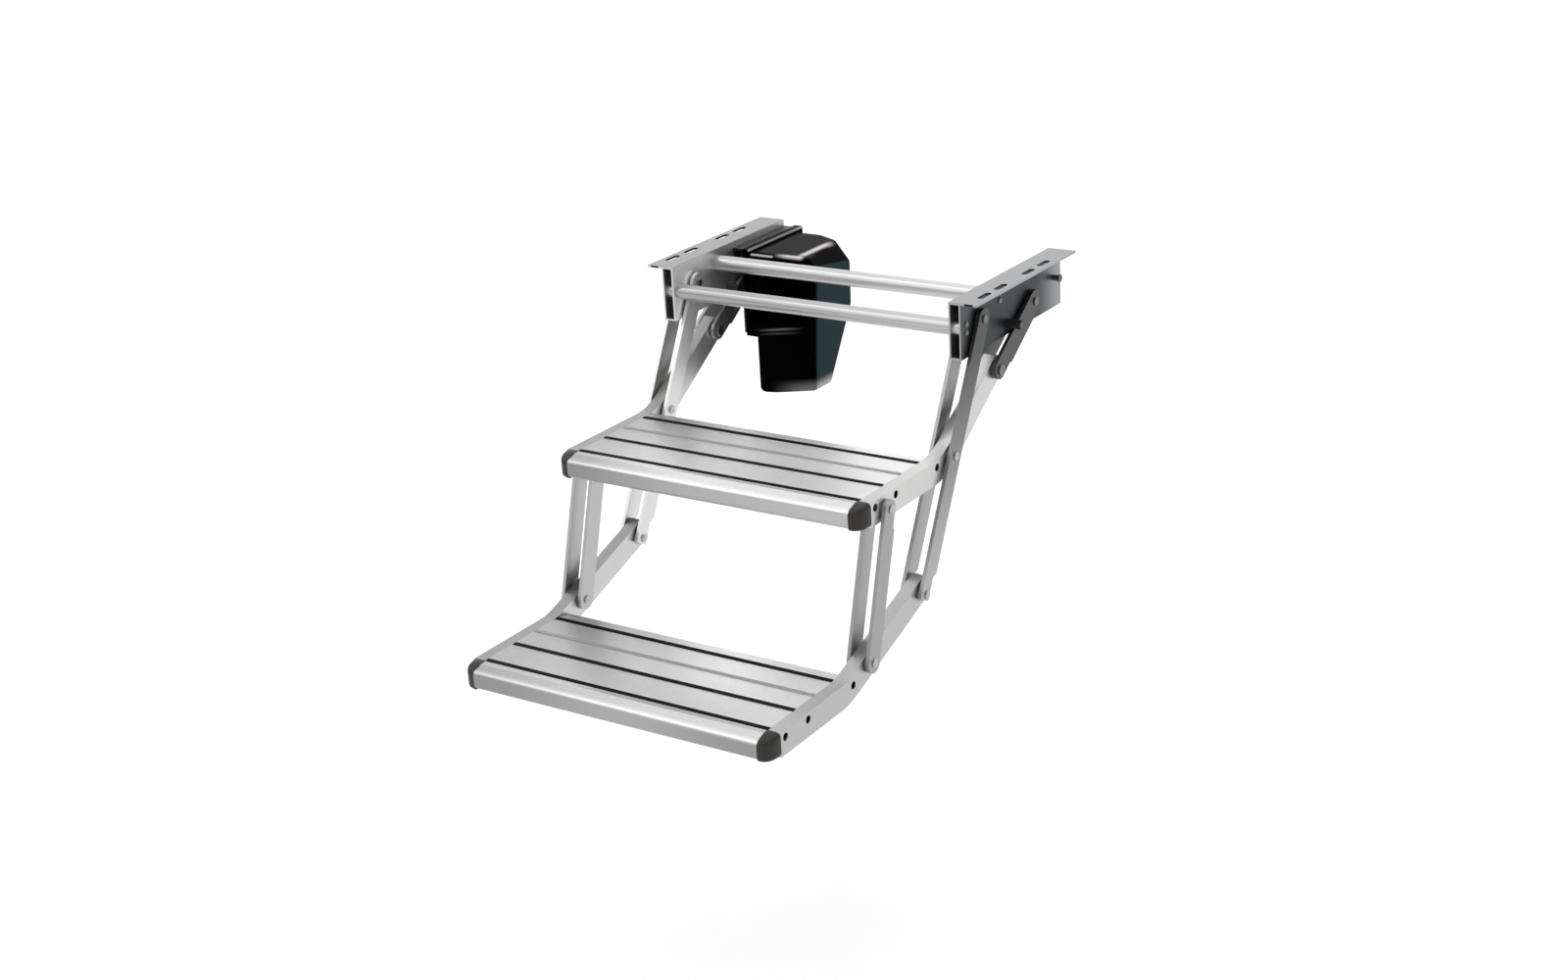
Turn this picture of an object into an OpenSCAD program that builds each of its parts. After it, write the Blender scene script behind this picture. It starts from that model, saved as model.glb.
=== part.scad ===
// Folding double entry step for a caravan, shown folded out.
// Two aluminium treads hang on pairs of flat levers under two box rails,
// and a gear motor on the left rail swings the drive links that fold them.
// X runs to the right along a tread, Y to the rear and Z up. The origin lies
// midway between the rails, on top of their flanges, in the middle of the slots.

/* [Treads] */
// Length of a tread between its side rails
tread_w = 440; // [340:10:560]
// Depth of a tread from its nose to its rear lip
tread_d = 202; // [196:1:215]
// Thickness of the deck plate
deck_t = 3.2; // [2.6:0.1:4]
// Height of the nose
nose_h = 29.5; // [28:0.5:33]
// Length of flat deck between the nose's round and its rear wall
nose_land = 2; // [1:0.5:3.5]
// Wall of the hollow nose
nose_wall = 2.4; // [1.8:0.1:3]
// Fall of the sloping nose, from level
nose_slope = 18; // [16:0.5:22]
// Drop of the sloping nose
nose_drop = 5.7; // [4.5:0.1:6.2]
// Radius where the slope meets the deck and the front
nose_r = 8; // [6:0.5:9]
// Radius of the nose's lower front corner
nose_foot_r = 5; // [3.5:0.5:6]
// Number of fine grooves along the sloping nose
nose_grooves = 5; // [3:1:6]
// Radius of a fine groove on the nose
nose_groove_r = 0.7; // [0.4:0.1:0.9]
// Height of the stiffening ribs below the deck
rib_h = 9; // [6:1:12]
// Thickness of the stiffening ribs
rib_t = 2.2; // [1.6:0.1:3]

/* [Grip strips] */
// Width of a strip groove
strip_w = 7; // [5:0.5:8]
// Depth of a strip groove
strip_depth = 1.8; // [1.2:0.1:2]
// Height of a strip above the deck
strip_proud = 0.6; // [0.3:0.1:1]
// Side clearance of a strip in its groove
strip_gap = 0.1; // [0.05:0.05:0.2]
// First black strip, measured from the nose
strip_front_y = 30; // [28:0.5:32]
// Distance from the third black strip to the rear lip
strip_rear_in = 24.3; // [20:0.1:28]
// Second black strip, as a share of the way from the first to the third
strip_middle_share = 0.384; // [0.36:0.002:0.42]
// Grey strip, as a share of the way from the first to the third
strip_grey_share = 0.69; // [0.65:0.01:0.73]

/* [Tread screws] */
// Thread diameter of a tread screw
tread_screw_d = 5; // [4:0.5:6]
// Length of a tread screw below its head
tread_screw_l = 24; // [18:1:30]
// Diameter of a tread screw's head
tread_screw_head_d = 8.5; // [8:0.5:10]
// Height of a tread screw's head
tread_screw_head_h = 3; // [2.5:0.1:4]
// Outer diameter of the screw ports in the tread
port_d = 10.5; // [9.5:0.5:11]
// Depth of the ports' axis below the deck's top
port_drop = 9.6; // [9:0.1:10]
// First port, measured from the nose
port_front_y = 37; // [36:0.5:39]
// Second port, as a share of the way from the first to the third
port_middle_share = 0.325; // [0.3:0.005:0.35]
// Distance from the third port to the rear lip
port_rear_in = 6.5; // [6:0.1:8]

/* [Side rails] */
// Width of a side rail's box section
side_w = 18; // [16:0.5:22]
// Height of a side rail's box section
side_h = 33; // [30:0.5:36]
// Wall of a side rail
side_wall = 2; // [1.6:0.1:2.4]
// Front end of a side rail, measured from the nose
side_front_y = 25; // [24.5:0.5:27]
// Radius of the bend, at the middle of the section
bend_r = 110; // [80:5:120]
// Rise of the upper step's arms
upper_rise = 32; // [29:0.5:34]
// Rise of the lower step's arms
lower_rise = 19; // [17:0.5:22]
// Length of an upper arm beyond its last pivot
upper_arm_over = 15; // [13:1:18]
// Length of a lower arm beyond its last pivot
lower_arm_over = 20; // [15:1:24]
// Corner radius at the rear end of an arm
arm_corner_r = 8; // [4:1:12]

/* [End caps] */
// Overhang of an end cap round the nose and the side rail
cap_proud = 0.8; // [0.4:0.1:1.5]
// Radius of an end cap's upright outer corner
cap_corner_r = 24; // [16:1:24]
// Length of the spigot inside the side rail
cap_spigot_l = 6; // [4:0.5:7]
// Clearance of the spigot inside the side rail
cap_spigot_gap = 0.2; // [0.1:0.05:0.4]

/* [Top rails] */
// Length of a top rail
rail_l = 290; // [270:5:340]
// Width of a top rail's box
rail_w = 18; // [16:0.5:22]
// Height of a top rail, flange included
rail_h = 78; // [74:1:90]
// Wall of a top rail's box
rail_wall = 2.5; // [2:0.1:3]
// Thickness of the flange
flange_t = 3; // [2.5:0.1:4]
// Width of the flange beyond the box
flange_out = 24; // [20:1:32]
// Distance from a rail's front end to the middle of its slots
slots_mid_y = 129.5; // [125:0.5:140]
// Distance between the two slots nearest the middle
slots_inner = 80; // [72:1:90]
// Distance between the two slots farthest from the middle
slots_outer = 171; // [160:1:180]
// Length of a slot
slot_l = 30; // [20:1:34]
// Width of a slot
slot_w = 9; // [7:0.5:11]

/* [Cross tubes] */
// Outer diameter of a cross tube
tube_d = 22; // [18:0.5:24]
// Wall of a cross tube
tube_wall = 2; // [1.5:0.1:3]
// Front tube, measured from the rails' front end
front_tube_y = 14.5; // [13:0.5:18]
// Depth of the front tube's axis below the flange top
front_tube_drop = 38; // [34:0.5:42]
// Rear tube, measured from the rails' front end
rear_tube_y = 109; // [104:0.5:114]
// Depth of the rear tube's axis below the flange top
rear_tube_drop = 20; // [18:0.5:24]
// Thread diameter of the two screws at a tube's end
tube_screw_d = 5; // [4:0.5:5.5]
// Diameter of a tube screw's head
tube_screw_head_d = 8.5; // [7:0.5:9.5]
// Height of a tube screw's head
tube_screw_head_h = 1.8; // [1.2:0.1:2]
// Distance between the two screws
tube_screw_pitch = 11; // [10:0.5:11.5]
// Length of the threaded plug inside a tube's end
plug_l = 24; // [16:1:32]

/* [Linkage] */
// Distance from a rail's front end to the long levers' top pivot
lever_top_y = 51.5; // [48:0.5:56]
// Depth of the long levers' top pivot below the flange top
lever_top_drop = 34; // [31:0.5:38]
// Lean of the long levers from upright, folded out
lever_lean = 28; // [26:0.5:30]
// Distance between a long lever's top and middle pivots
lever_pitch_top = 185; // [178:1:192]
// Distance between a long lever's middle and bottom pivots
lever_pitch_bottom = 186; // [178:1:194]
// Distance from a rail's front end to the drive pivot
drive_pivot_y = 198.5; // [194:0.5:204]
// Depth of the drive pivot below the flange top
drive_pivot_drop = 49.5; // [47:0.5:53]
// Upper step: lever pivot, measured back from the rear lip
upper_lever_back = 31; // [28:0.5:35]
// Upper step: lever pivot, measured up from the deck
upper_lever_z = -5; // [-7:0.5:-3]
// Upper step: drive pivot, measured back from the rear lip
upper_drive_back = 161; // [156:0.5:166]
// Upper step: drive pivot, measured up from the deck
upper_drive_z = 75; // [71:0.5:79]
// Upper step: front link pivot, measured back from the nose
upper_front_y = 63.3; // [61:0.1:65]
// Upper step: depth of the front link pivot below the deck
upper_front_drop = 19.5; // [18.5:0.5:21]
// Lower step: lever pivot, measured back from the rear lip
lower_lever_back = 172; // [167:0.5:177]
// Lower step: lever pivot, measured up from the deck
lower_lever_z = 46; // [43:0.5:49]
// Lower step: front link pivot, measured back from the rear lip
lower_front_back = 34; // [31:0.5:38]
// Lower step: front link pivot, measured up from the deck
lower_front_z = 6; // [3:0.5:8]

/* [Link plates] */
// Thickness of a link plate
plate_t = 5; // [4:0.5:6]
// Gap between a link plate and its rail
plate_gap = 2.5; // [2:0.1:3]
// Half width of a long lever and of a front link
lever_half = 14; // [12.5:0.5:15]
// Half width of a drive link
drive_half = 16; // [13:0.5:16.5]
// Depth of the step in a plate's rear edge
plate_notch = 3.5; // [1:0.5:4]
// Distance from a pivot to the step beside it
plate_step = 24; // [18:0.5:28]
// Depth of the step near a long lever's lower end
lever_notch = 6.5; // [4:0.5:7.5]
// Length of a long lever's square end beyond its last pivot
lever_end = 8; // [7:0.5:12]
// Corner radius of that end
lever_end_r = 2.5; // [1:0.5:4]

/* [Pivots] */
// Diameter of a pivot bolt
pivot_d = 8; // [7:0.5:9]
// Diameter of a pivot bolt's heads
pivot_head_d = 11.5; // [11:0.5:13]
// Height of a pivot bolt's heads
pivot_head_h = 2.4; // [2:0.1:3.2]
// Diameter of the drive links' lower rivet heads
drive_head_d = 15; // [13:0.5:18]
// Radial clearance of a bolt in its bush
pivot_fit = 0.05; // [0.02:0.01:0.08]
// Wall of a bush's sleeve
bush_wall = 2; // [1.5:0.1:2.5]
// Diameter of a bush's flange
bush_flange_d = 20; // [18:0.5:22]
// Running clearance between a bush's flange and the plate
bush_gap = 0.2; // [0.1:0.05:0.4]
// Radial clearance of pieces that stay put in each other
seat_gap = 0.03; // [0.01:0.01:0.06]
// Diameter of the geared shaft on the left drive pivot
shaft_d = 14; // [12:0.5:15]

/* [Stops] */
// Diameter of the rubber stop sleeve
stop_d = 13; // [10:0.5:16]
// Diameter of the stop pin's steel core
stop_core_d = 8; // [6:0.5:9]
// Length of the stop beyond the rail on each side
stop_l = 20; // [14:1:24]
// Place of the stop along the drive link, from the drive pivot
stop_along = 62; // [55:1:70]
// Clearance between the stop and the drive link
stop_gap = 0.3; // [0.2:0.1:1]
// Diameter of the rear peg
peg_d = 8; // [6:0.5:10]
// Diameter of the rear peg's head
peg_head_d = 11; // [10.5:0.5:14]
// Length of the rear peg beyond the rail
peg_l = 10; // [8:0.5:24]
// Thickness of the rear peg's head
peg_head_h = 3; // [2:0.5:5]
// Rear peg, measured forward from a rail's rear end
peg_in = 24.5; // [20:0.5:30]
// Depth of the rear peg below the flange top
peg_drop = 34.5; // [28:0.5:40]

/* [Gear motor] */
// Distance from the left rail to the bracket's inner plate
bracket_reach = 13; // [12.5:0.5:16]
// Thickness of the bracket
bracket_t = 3; // [2.5:0.5:4]
// Height of the bracket's foot on the rail
bracket_foot_h = 19; // [16:0.5:19.5]
// Drop of the bracket's inner plate
bracket_drop = 126; // [115:1:130]
// Diameter of the gearbox round the shaft
gearbox_d = 60; // [54:1:61]
// Width of the gearbox along the shaft
gearbox_w = 88; // [80:1:92]
// Diameter of the motor
motor_d = 41; // [36:1:41]
// Distance from the bracket's inner plate to the motor's axis
motor_in = 66; // [62:1:70]
// Distance from the cover's front to the motor's axis
motor_back = 26; // [25:0.5:26.5]
// Height of the motor's lower end above the cover's
motor_lift = 49; // [47:1:80]
// Height of the bearing cap on the motor's lower end
motor_cap_h = 6; // [4:1:10]
// How much narrower the bearing cap is than the motor
motor_cap_in = 4; // [2:0.5:8]

/* [Motor cover] */
// Cover's front face, measured from the rails' front end
cover_front_y = 151.5; // [150:0.5:156]
// Depth of the cover's rim from front to rear
cover_rim_d = 147; // [140:1:155]
// Width of the raised rim beside the bracket
cover_rim_w = 11; // [8:0.5:14]
// Height of the rim's top below the flange top
cover_top = 9.4; // [8.5:0.1:12]
// Step from the rim down to the body
cover_step = 4.5; // [3:0.5:6]
// Width of the body from the bracket's inner plate
cover_w = 128; // [122:1:134]
// Depth of the body on the right side
cover_d = 91; // [84:1:96]
// Depth of the body beside the rim, at its top
cover_top_d = 140; // [132:1:145]
// Depth of the body at its lower end
cover_low_d = 26; // [25:1:40]
// Radius between the lower end and the slanting rear
cover_low_r = 14; // [6:1:16]
// Drop of the upper body below the flange top
cover_upper_drop = 140; // [134:1:146]
// Drop of the lower body below the flange top
cover_lower_drop = 227; // [215:1:236]
// Setback of the lower body from the bracket's inner plate
cover_lower_in = 19; // [15:1:24]
// Lean of the body's right side over its height
cover_lean = 9; // [6:1:20]
// Rise of the floor towards the right side
cover_floor_rise = 18; // [8:1:22]
// Width of the slanting shoulder at the front of the top
cover_shoulder_front = 14; // [10:1:18]
// Width of the slanting shoulder at the rear of the top
cover_shoulder_rear = 33; // [28:1:38]
// Tilt of the slanting shoulder from level
cover_shoulder_tilt = 38; // [30:1:50]
// Wall of the cover
cover_wall = 3; // [2.4:0.2:3.4]
// Radius of the cover's rounded edges
cover_r = 9; // [5:0.5:10]

/* [Hidden] */
$fn = 48;
arc_steps = 6;
arc_chord = 4;
// Overshoot of a cut past the face that it opens
cut = 2;

// Planes along X, on the right side
side_in = tread_w / 2;
side_out = side_in + side_w;
rail_out = side_in + rail_w;
inner_plate_x = side_in - plate_gap - plate_t;
outer_plate_x = side_in + max(side_w, rail_w) + plate_gap;
tube_end = rail_out - rail_wall;

// Places in the plane of Y and Z. Those of a step's own pivots are measured from its nose and deck
rail_front = -slots_mid_y;
rail_rear = rail_front + rail_l;
p_top = [rail_front + lever_top_y, -lever_top_drop];
lever_dir = [-sin(lever_lean), -cos(lever_lean)];
p_middle = p_top + lever_pitch_top * lever_dir;
p_bottom = p_middle + lever_pitch_bottom * lever_dir;
p_drive = [rail_front + drive_pivot_y, -drive_pivot_drop];
upper_lever = [tread_d + upper_lever_back, upper_lever_z];
upper_drive = [tread_d + upper_drive_back, upper_drive_z];
upper_front = [upper_front_y, -upper_front_drop];
lower_lever = [tread_d + lower_lever_back, lower_lever_z];
lower_front = [tread_d + lower_front_back, lower_front_z];
upper_at = p_middle - upper_lever;
lower_at = p_bottom - lower_lever;
p_upper_drive = upper_at + upper_drive;
p_upper_front = upper_at + upper_front;
p_lower_front = lower_at + lower_front;
front_tube_at = [rail_front + front_tube_y, -front_tube_drop];
rear_tube_at = [rail_front + rear_tube_y, -rear_tube_drop];
peg_at = [rail_rear - peg_in, -peg_drop];
drive_dir = (p_upper_drive - p_drive) / norm(p_upper_drive - p_drive);
stop_at = p_drive + stop_along * drive_dir
    + (drive_half + stop_d / 2 + stop_gap) * [drive_dir[1], -drive_dir[0]];

// Sizes that follow from the fits
bush_sleeve_d = pivot_d + 2 * pivot_fit + 2 * bush_wall;
shaft_sleeve_d = shaft_d + 2 * pivot_fit + 2 * bush_wall;
port_rear_y = tread_d - port_rear_in;
port_ys = [port_front_y, port_front_y + port_middle_share * (port_rear_y - port_front_y), port_rear_y];
strip_rear_y = tread_d - strip_rear_in;
strip_middle_y = strip_front_y + strip_middle_share * (strip_rear_y - strip_front_y);
strip_grey_y = strip_front_y + strip_grey_share * (strip_rear_y - strip_front_y);
black_ys = [strip_front_y, strip_middle_y, strip_rear_y];
strip_ys = [strip_front_y, strip_middle_y, strip_grey_y, strip_rear_y];
rib_ys = [(strip_middle_y + strip_grey_y) / 2, (strip_grey_y + strip_rear_y) / 2];
edge_break = 0.8;

// Motor group
bracket_x = side_in - bracket_reach;
cover_front = rail_front + cover_front_y;
motor_at = [bracket_x - bracket_t - motor_in, cover_front + motor_back];
cover_screw_d = 4;
cover_screw_head_h = 1.6;
cover_screw_in = 12;
bracket_screw_d = 6;
bracket_screw_head_h = 2.5;

// Outline with rounded corners, from points [x, y, radius] that run anticlockwise.
// The inset moves the whole outline inwards and keeps the centres of its rounds.
function unit(v) = v / norm(v);
function flat(p) = [p[0], p[1]];
function rounded_corner(before, at, after, inset) =
    let (
        u = unit(flat(before) - flat(at)),
        v = unit(flat(after) - flat(at)),
        side = sign(u[1] * v[0] - u[0] * v[1]),
        half = acos(u * v) / 2,
        middle = unit(u + v),
        centre = flat(at) + at[2] / sin(half) * middle,
        r = at[2] - side * inset,
        from = atan2(side * u[0], -side * u[1]),
        sweep = side * (180 - 2 * half),
        steps = max(arc_steps, ceil(r * abs(sweep) * PI / 180 / arc_chord))
    )
    at[2] == 0
        ? [flat(at) + side * inset / sin(half) * middle]
        : [for (i = [0 : steps]) centre + r * [cos(from + sweep * i / steps), sin(from + sweep * i / steps)]];
function rounded(points, inset = 0) = [for (i = [0 : len(points) - 1])
    each rounded_corner(points[(i + len(points) - 1) % len(points)], points[i], points[(i + 1) % len(points)], inset)];

// Carries a drawing in Y and Z along X, from one plane to another
module along_x(x0, x1) {
    translate([x0, 0, 0]) rotate([90, 0, 90]) linear_extrude(x1 - x0) children();
}

// A round bar along X through a point in Y and Z
module pin_x(at, d, x0, x1) {
    translate([x0, at[0], at[1]]) rotate([0, 90, 0]) cylinder(d = d, h = x1 - x0);
}

// A round head along X, with its far edge broken
module head_x(at, d, x0, h, facing) {
    translate([x0, at[0], at[1]]) rotate([0, 90 * facing, 0]) {
        cylinder(d = d, h = h - edge_break);
        translate([0, 0, h - edge_break]) cylinder(d1 = d, d2 = d - 2 * edge_break, h = edge_break);
    }
}

module both_sides() {
    children();
    mirror([1, 0, 0]) children();
}

// Top rail

module rail_section() {
    difference() {
        union() {
            translate([side_in, -rail_h]) square([rail_w, rail_h]);
            translate([side_in, -flange_t]) square([rail_w + flange_out, flange_t]);
        }
        translate([side_in + rail_wall, -rail_h + rail_wall])
            square([rail_w - 2 * rail_wall, rail_h - rail_wall - flange_t]);
    }
}

module slot(at) {
    straight = slot_l - slot_w;
    translate([rail_out + flange_out / 2, at, -flange_t - cut]) {
        translate([-slot_w / 2, -straight / 2, 0]) cube([slot_w, straight, flange_t + 2 * cut]);
        for (end = [-1, 1]) translate([0, end * straight / 2, 0])
            cylinder(d = slot_w, h = flange_t + 2 * cut);
    }
}

// A bore through both walls of the rail for a piece that stays in it
module rail_bore(at, d) {
    pin_x(at, d + 2 * seat_gap, side_in - cut, rail_out + cut);
}

module top_rail(drive_sleeve_d) {
    color([0.78, 0.79, 0.80]) difference() {
        translate([0, rail_rear, 0]) rotate([90, 0, 0]) linear_extrude(rail_l) rail_section();
        for (offset_y = [slots_inner / 2, slots_outer / 2]) {
            slot(offset_y);
            slot(-offset_y);
        }
        rail_bore(p_top, bush_sleeve_d);
        rail_bore(p_drive, drive_sleeve_d);
        for (tube_at = [front_tube_at, rear_tube_at]) {
            pin_x(tube_at, tube_d + 2 * seat_gap, side_in - cut, side_in + rail_wall + cut);
            for (at = tube_screws_at(tube_at)) pin_x(at, tube_screw_d + 2 * seat_gap, tube_end, rail_out + cut);
        }
        rail_bore(stop_at, stop_core_d);
        rail_bore(peg_at, peg_d);
    }
}

module left_rail() mirror([1, 0, 0]) difference() {
    top_rail(shaft_sleeve_d);
    for (at = bracket_screws_at)
        pin_x(at, bracket_screw_d + 2 * seat_gap, side_in - cut, side_in + rail_wall + cut);
}

module right_rail() top_rail(bush_sleeve_d);

// Cross tubes: each runs through the rails' inner walls up to the outer ones, with a threaded plug in its ends
function tube_screws_at(at) = [for (side = [-1, 1]) at + [0, side * tube_screw_pitch / 2]];

module cross_tube(at) {
    color([0.80, 0.80, 0.80]) difference() {
        pin_x(at, tube_d, -tube_end, tube_end);
        pin_x(at, tube_d - 2 * tube_wall, -tube_end - cut, tube_end + cut);
    }
}

module front_tube() cross_tube(front_tube_at);

module rear_tube() cross_tube(rear_tube_at);

module tube_plugs() {
    color([0.55, 0.55, 0.56]) both_sides() for (tube_at = [front_tube_at, rear_tube_at]) difference() {
        pin_x(tube_at, tube_d - 2 * tube_wall - 2 * seat_gap, tube_end - plug_l, tube_end);
        for (at = tube_screws_at(tube_at))
            pin_x(at, tube_screw_d + 2 * seat_gap, tube_end - plug_l - cut, tube_end + cut);
    }
}

module tube_screws() {
    color([0.72, 0.73, 0.74]) both_sides() for (tube_at = [front_tube_at, rear_tube_at])
        for (at = tube_screws_at(tube_at)) {
            pin_x(at, tube_screw_d, tube_end - plug_l, rail_out);
            head_x(at, tube_screw_head_d, rail_out, tube_screw_head_h, 1);
        }
}

// Stops of the drive links and the pegs behind them

module stop_pins() {
    color([0.45, 0.46, 0.47]) both_sides()
        pin_x(stop_at, stop_core_d, side_in - stop_l, rail_out + stop_l);
}

module stop_sleeve(x0, x1) {
    difference() {
        pin_x(stop_at, stop_d, x0, x1);
        pin_x(stop_at, stop_core_d + 2 * seat_gap, x0 - cut, x1 + cut);
    }
}

module stop_sleeves() {
    color([0.12, 0.12, 0.12]) both_sides() {
        stop_sleeve(rail_out, rail_out + stop_l);
        stop_sleeve(side_in - stop_l, side_in);
    }
}

module rear_pegs() {
    color([0.50, 0.51, 0.52]) both_sides() {
        pin_x(peg_at, peg_d, side_in, rail_out + peg_l);
        head_x(peg_at, peg_head_d, rail_out + peg_l, peg_head_h, 1);
    }
}

// Flanged bush, pressed in from one side of a box section
module half_bush(at, d, sleeve_d, flange_d, face, depth) {
    difference() {
        union() {
            pin_x(at, sleeve_d, face, face + depth);
            pin_x(at, flange_d, face - plate_gap + bush_gap, face);
        }
        pin_x(at, d + 2 * pivot_fit, face - plate_gap - cut, face + depth + cut);
    }
}

// The pair of bushes of one pivot in a section of the given width
module bush_pair(at, width, d = pivot_d, flange_d = bush_flange_d) {
    sleeve_d = d + 2 * pivot_fit + 2 * bush_wall;
    half_bush(at, d, sleeve_d, flange_d, side_in, width / 2);
    translate([2 * side_in + width, 0, 0]) mirror([1, 0, 0])
        half_bush(at, d, sleeve_d, flange_d, side_in, width / 2);
}

module rail_bushes() {
    color([0.85, 0.85, 0.82]) {
        both_sides() bush_pair(p_top, rail_w);
        bush_pair(p_drive, rail_w);
        mirror([1, 0, 0]) bush_pair(p_drive, rail_w, shaft_d);
    }
}

// Gear motor group on the left rail

bracket_screws_at = [for (share = [0.2, 0.8])
    [cover_front + share * cover_rim_d, -cover_top - bracket_t - bracket_foot_h / 2]];

cover_screws_at = [
    [cover_front + cover_screw_in, -cover_top - cover_screw_in],
    [cover_front + cover_rim_d - cover_screw_in, -cover_top - cover_screw_in],
    [cover_front + cover_rim_d - cover_screw_in, -cover_top - bracket_drop / 2]
];

module motor_bracket() {
    color([0.10, 0.10, 0.10]) mirror([1, 0, 0]) difference() {
        union() {
            along_x(side_in - bracket_t, side_in)
                translate([cover_front, -cover_top - bracket_t - bracket_foot_h])
                    square([rail_rear - cover_front, bracket_foot_h + bracket_t]);
            along_x(bracket_x - bracket_t, side_in)
                translate([cover_front, -cover_top - bracket_t])
                    square([rail_rear - cover_front, bracket_t]);
            along_x(bracket_x - bracket_t, bracket_x)
                translate([cover_front, -cover_top - bracket_drop])
                    square([cover_rim_d, bracket_drop]);
        }
        pin_x(p_drive, bush_flange_d, bracket_x - bracket_t - cut, bracket_x + cut);
        for (at = bracket_screws_at)
            pin_x(at, bracket_screw_d + 2 * seat_gap, side_in - bracket_t - cut, side_in + cut);
        for (at = cover_screws_at)
            pin_x(at, cover_screw_d + 2 * seat_gap, bracket_x - bracket_t - cut, bracket_x + cut);
    }
}

module bracket_screws() {
    color([0.60, 0.60, 0.61]) mirror([1, 0, 0]) for (at = bracket_screws_at) {
        pin_x(at, bracket_screw_d, side_in - bracket_t, side_in + rail_wall);
        head_x(at, 2 * bracket_screw_d, side_in - bracket_t, bracket_screw_head_h, -1);
    }
}

module gearbox() {
    inner = bracket_x - bracket_t;
    far = inner - gearbox_w;
    color([0.55, 0.56, 0.57]) mirror([1, 0, 0]) difference() {
        union() {
            pin_x(p_drive, gearbox_d, far, inner);
            translate([motor_at[0], motor_at[1], p_drive[1] - gearbox_d / 2 - cover_wall])
                cylinder(d = motor_d, h = gearbox_d / 2);
        }
        pin_x(p_drive, shaft_d + 2 * pivot_fit, far + cover_wall, inner + cut);
    }
}

module motor() {
    top = p_drive[1] - gearbox_d / 2 - cover_wall;
    foot = motor_lift - cover_lower_drop;
    color([0.20, 0.20, 0.21]) mirror([1, 0, 0]) translate([motor_at[0], motor_at[1], foot]) {
        cylinder(d = motor_d - 2 * motor_cap_in, h = motor_cap_h);
        translate([0, 0, motor_cap_h]) cylinder(d = motor_d, h = top - foot - motor_cap_h);
    }
}

// Body of the cover: its front, side and top outlines meet, less a slanting shoulder.
// The rear slants forward towards the lower end.
// The hollow inside it is the same form, set inwards and open towards the bracket.
module cover_body(inset) {
    near = bracket_x - bracket_t - cover_rim_w + 2 * inset;
    lower_near = bracket_x - bracket_t - cover_lower_in;
    far = bracket_x - bracket_t - cover_w;
    top = -cover_top - cover_step;
    reach = cover_w + cover_rim_d;
    intersection() {
        translate([0, cover_front + reach, 0]) rotate([90, 0, 0]) linear_extrude(2 * reach) polygon(rounded([
            [far, top, cover_r], [far + cover_lean, cover_floor_rise - cover_lower_drop, cover_r],
            [lower_near, -cover_lower_drop, cover_r], [lower_near, -cover_upper_drop, 0],
            [near, -cover_upper_drop, 0], [near, top, 0]
        ], inset));
        along_x(far - reach, far + reach) polygon(rounded([
            [cover_front, -cover_lower_drop, cover_r], [cover_front + cover_low_d, -cover_lower_drop, cover_low_r],
            [cover_front + cover_top_d, top, cover_r], [cover_front, top, cover_r]
        ], inset));
        translate([0, 0, -reach]) linear_extrude(2 * reach) polygon(rounded([
            [far, cover_front, cover_r], [near, cover_front, 0],
            [near, cover_front + cover_rim_d, 0], [far, cover_front + cover_d, cover_r]
        ], inset));
        translate([far + cover_shoulder_front, cover_front, top])
            rotate([90, 0, -atan((cover_shoulder_rear - cover_shoulder_front) / cover_d)])
            translate([0, 0, -reach]) linear_extrude(2 * reach) polygon(rounded([
                [0, 0, cover_r], -reach * [cos(cover_shoulder_tilt), sin(cover_shoulder_tilt), 0],
                [2 * reach, -reach, 0], [2 * reach, 0, 0]
            ], inset));
    }
}

module cover_rim(inset) {
    x0 = bracket_x - bracket_t - cover_rim_w;
    along_x(x0, bracket_x - bracket_t)
        translate([cover_front + inset, -cover_upper_drop + inset])
            square([cover_rim_d - 2 * inset, cover_upper_drop - cover_top - 2 * inset]);
}

module motor_cover() {
    color([0.05, 0.05, 0.05]) mirror([1, 0, 0]) difference() {
        union() {
            cover_rim(0);
            cover_body(0);
        }
        translate([cut, 0, 0]) cover_rim(cover_wall);
        cover_body(cover_wall);
    }
}

module cover_screws() {
    color([0.35, 0.35, 0.36]) mirror([1, 0, 0]) for (at = cover_screws_at) {
        pin_x(at, cover_screw_d, bracket_x - bracket_t, bracket_x);
        head_x(at, 2 * cover_screw_d, bracket_x, cover_screw_head_h, 1);
    }
}

// Link plates: straight in front, with a step in the rear edge beside one end

module link_outline(length, half, notch, square_end) {
    end = length + square_end;
    end_r = square_end > 0 ? lever_end_r : 0;
    circle(r = half);
    if (square_end == 0) translate([length, -notch / 2]) circle(r = half - notch / 2);
    polygon(rounded([
        [0, -half, 0], [end, -half, end_r], [end, half - notch, end_r], [length - plate_step, half - notch, 0],
        [length - plate_step - notch, half, 0], [0, half, 0]
    ]));
}

// A plate from one pivot to another. The step lies beside the second one, or beside the first if flipped.
// The end beyond the step is round, or square where it has a length
module link_plate(x0, from, to, half, flipped, shaft_hole, holes, notch = plate_notch, square_end = 0) {
    length = norm(to - from);
    difference() {
        along_x(x0, x0 + plate_t) translate(from) rotate(atan2(to[1] - from[1], to[0] - from[0]))
            translate([flipped ? length : 0, 0]) mirror([flipped ? 1 : 0, 0])
                link_outline(length, half, notch, square_end);
        for (at = holes) pin_x(at, pivot_d + 2 * seat_gap, x0 - cut, x0 + plate_t + cut);
        pin_x(from, shaft_hole + 2 * seat_gap, x0 - cut, x0 + plate_t + cut);
    }
}

module long_lever(x0) {
    color([0.74, 0.74, 0.75])
        link_plate(x0, p_top, p_bottom, lever_half, false, pivot_d, [p_middle, p_bottom], lever_notch, lever_end);
}

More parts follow.
